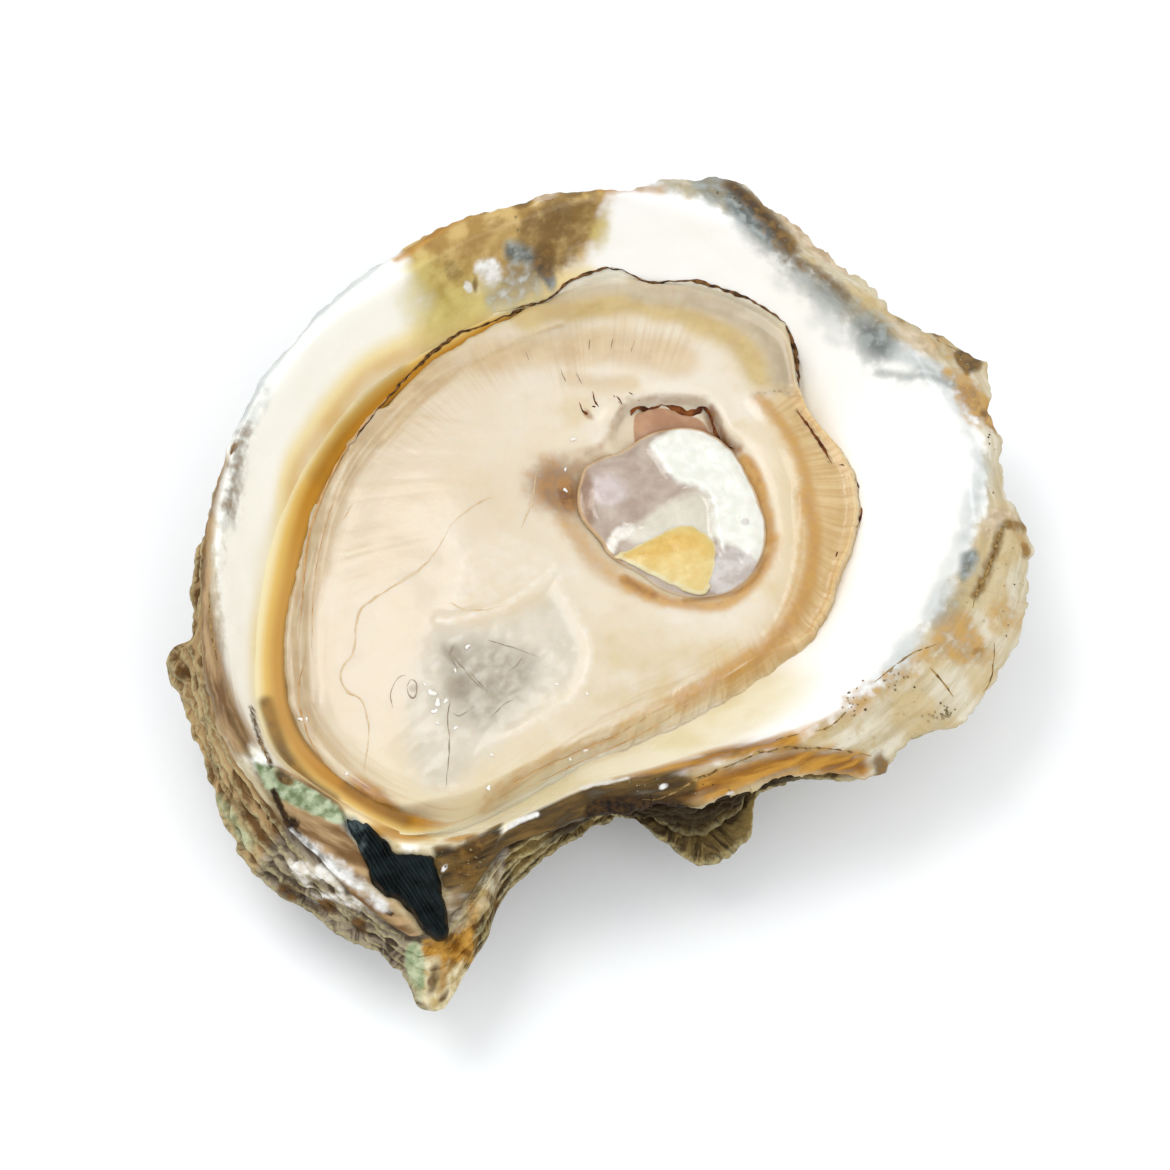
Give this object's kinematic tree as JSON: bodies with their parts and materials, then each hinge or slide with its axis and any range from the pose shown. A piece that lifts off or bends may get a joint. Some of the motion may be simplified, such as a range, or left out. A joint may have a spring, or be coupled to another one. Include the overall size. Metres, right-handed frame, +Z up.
{
  "type": "oyster on the half shell",
  "caption": "Opened cupped oyster lying in its lower shell, with meat, muscle, hinge pad and a little liquor, to set on a plate or ice.",
  "frame": {"origin": "on the surface that the shell rests on, under the middle of its bounding box", "axes": "+Z up, out of the cup; the beak points to -Y and -X, and the broad margin to +Y and +X"},
  "size_m": [0.0865, 0.0857, 0.025],
  "materials": {
    "shell": "glossy pearly white inside, rough tan, olive and grey layers outside",
    "meat": "wet, translucent cream flesh",
    "muscle": "wet, milky grey and white",
    "hinge_pad": "wet black horn",
    "liquor": "clear golden liquid"
  },
  "bodies": {
    "root": {"shell": "shell", "oyster_meat": "meat", "adductor_muscle": "muscle", "hinge_ligament": "hinge_pad", "liquor": "liquor"}
  },
  "joints": []
}
